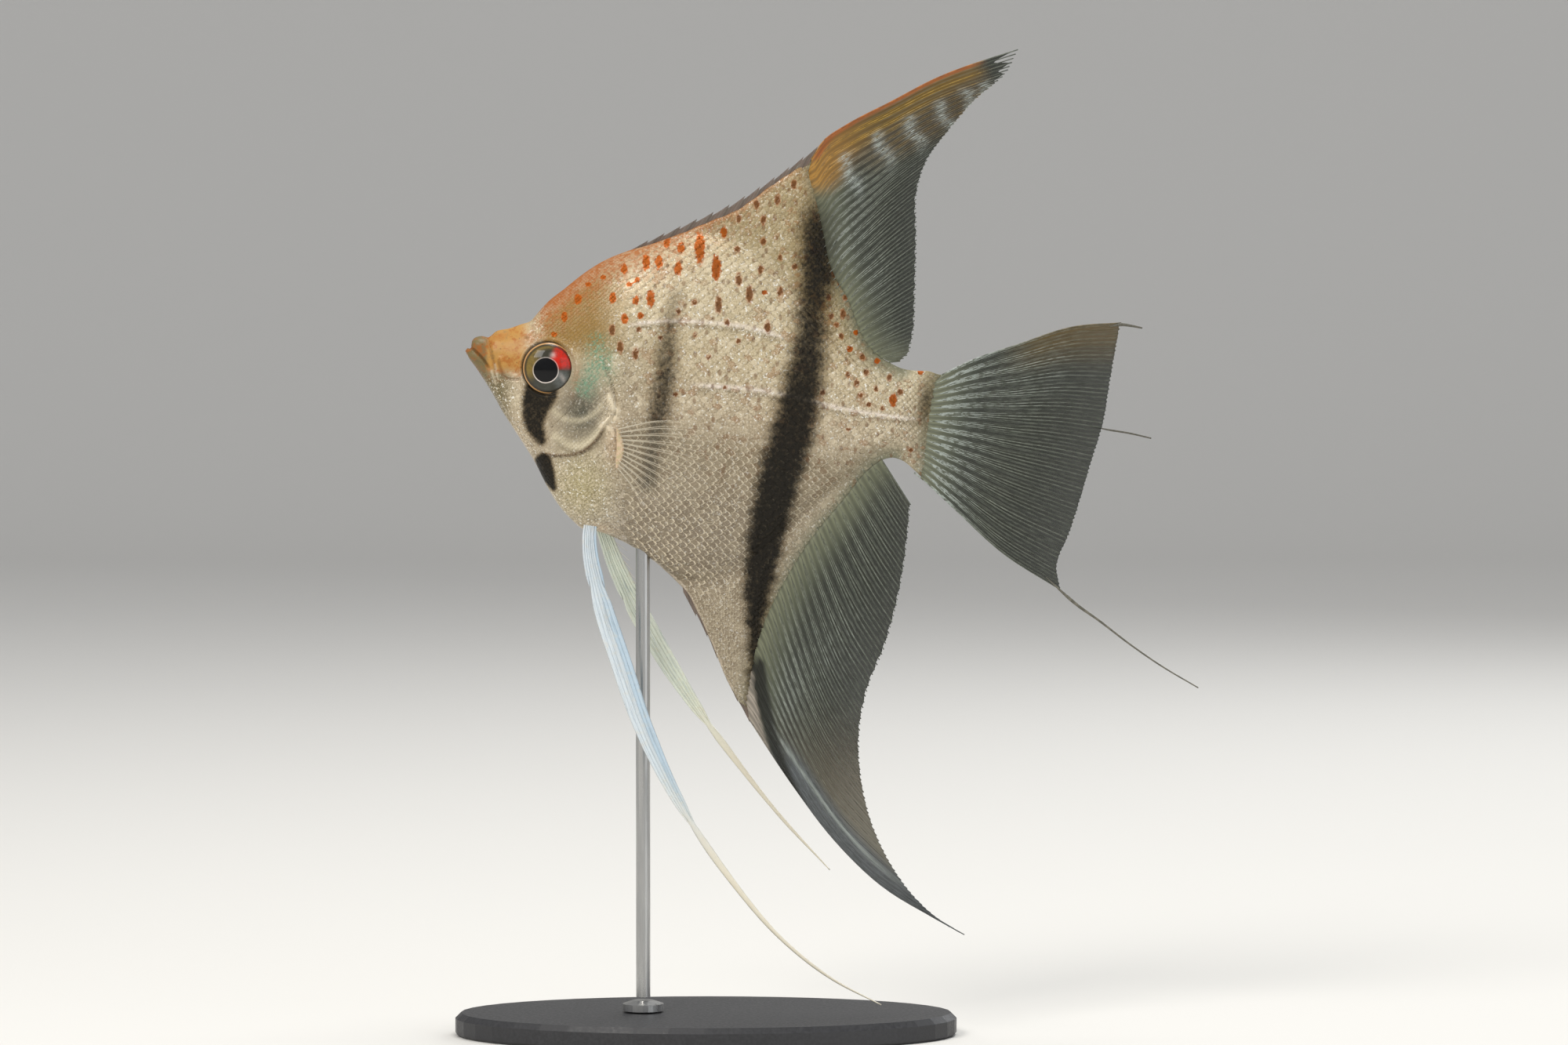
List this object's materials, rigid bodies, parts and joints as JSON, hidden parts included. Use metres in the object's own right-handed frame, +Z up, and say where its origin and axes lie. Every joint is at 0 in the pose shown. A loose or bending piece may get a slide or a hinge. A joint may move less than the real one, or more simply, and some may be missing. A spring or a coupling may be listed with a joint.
{
  "type": "freshwater angelfish model",
  "caption": "Life-size still model of a freshwater angelfish with tall fins and long trailing pelvic fins, swimming on a rod above an oval display base.",
  "frame": {"origin": "centre of the display base's underside, on the table", "axes": "+X from the snout towards the tail, +Z up, +Y across the fish towards its right flank; the fish is posed nose-up by about eight degrees"},
  "size_m": [0.1303, 0.05, 0.1726],
  "materials": {
    "scaled_skin": "painted resin, satin, silvery scaled skin with dark bars",
    "lip_skin": "painted resin, satin, orange-tan",
    "gill_plate": "painted resin, satin, silvery green",
    "fin_web": "thin smoky clear resin with pale rays",
    "pelvic_ray": "painted resin, bluish white",
    "eye": "polished clear-coated resin",
    "stand_black": "fine matt black powder coat on steel plate",
    "stand_steel": "brushed"
  },
  "bodies": {
    "root": {"head": "scaled_skin", "upper_lip": "lip_skin", "lower_jaw": "lip_skin", "gill_cover_left": "gill_plate", "gill_cover_right": "gill_plate", "trunk": "scaled_skin", "tail_peduncle": "scaled_skin", "dorsal_fin_spiny": "scaled_skin", "anal_fin_spiny": "scaled_skin", "dorsal_fin_soft": "fin_web", "anal_fin_soft": "fin_web", "caudal_fin": "fin_web", "pectoral_fin_left": "fin_web", "pectoral_fin_right": "fin_web", "pelvic_fin_left": "pelvic_ray", "pelvic_fin_right": "pelvic_ray", "eye_left": "eye", "eye_right": "eye", "stand_base": "stand_black", "stand_collar": "stand_steel", "stand_rod": "stand_steel"}
  },
  "joints": []
}
